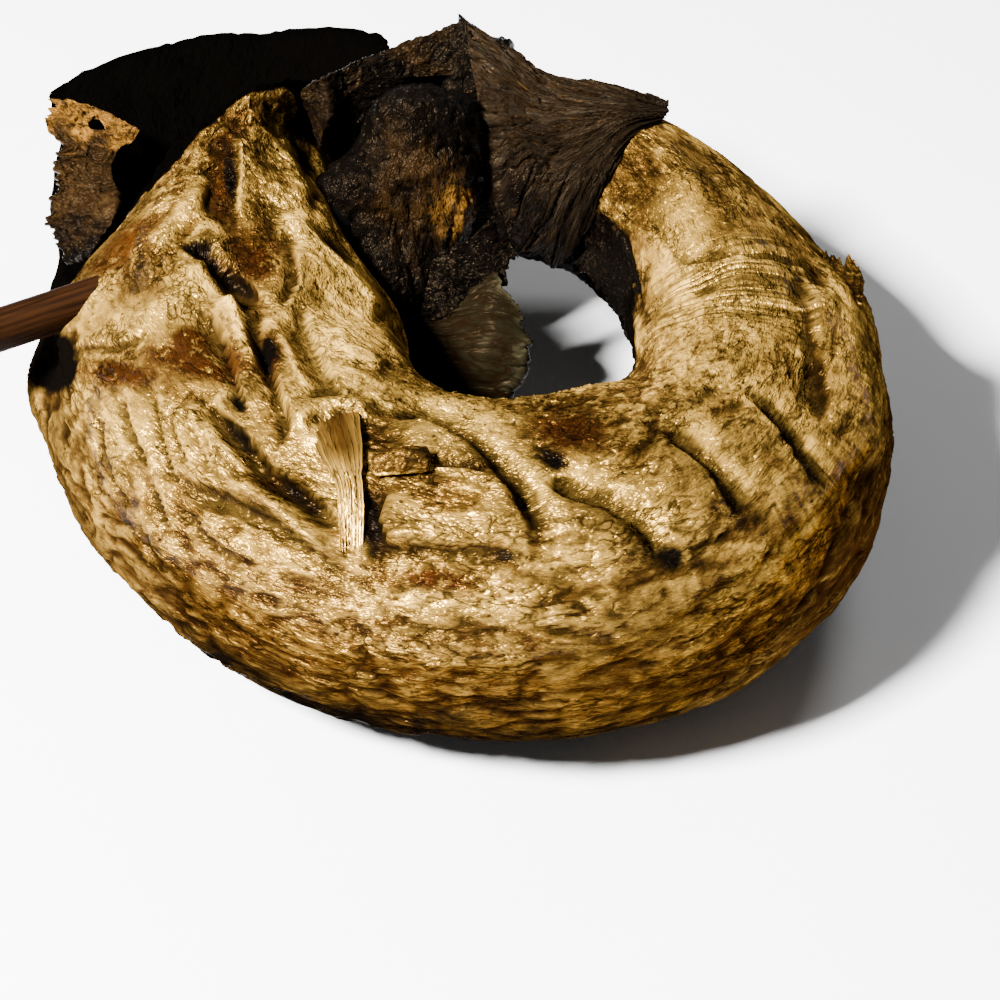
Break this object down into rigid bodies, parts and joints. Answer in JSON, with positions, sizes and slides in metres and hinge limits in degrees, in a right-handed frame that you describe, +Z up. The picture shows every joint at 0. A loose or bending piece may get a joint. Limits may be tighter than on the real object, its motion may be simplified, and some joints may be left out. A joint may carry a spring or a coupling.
{
  "type": "smoked fish",
  "caption": "Whole smoked catfish curled into a ring on its back, mouth gaping, its tail pinned to the head by a wooden skewer.",
  "frame": {"origin": "on the floor, under the middle of the whole outline in plan", "axes": "+Z up from the floor the ring lies on; the head lies along the -X side with its open mouth towards +Y; the belly faces -Y"},
  "size_m": [0.1942, 0.1972, 0.0696],
  "materials": {
    "smoked_skin": "wrinkled, oily and partly charred smoked fish skin",
    "skewer_wood": "smoke-darkened bare wood"
  },
  "bodies": {
    "root": {"fish": "smoked_skin", "skewer": "skewer_wood"}
  },
  "joints": []
}
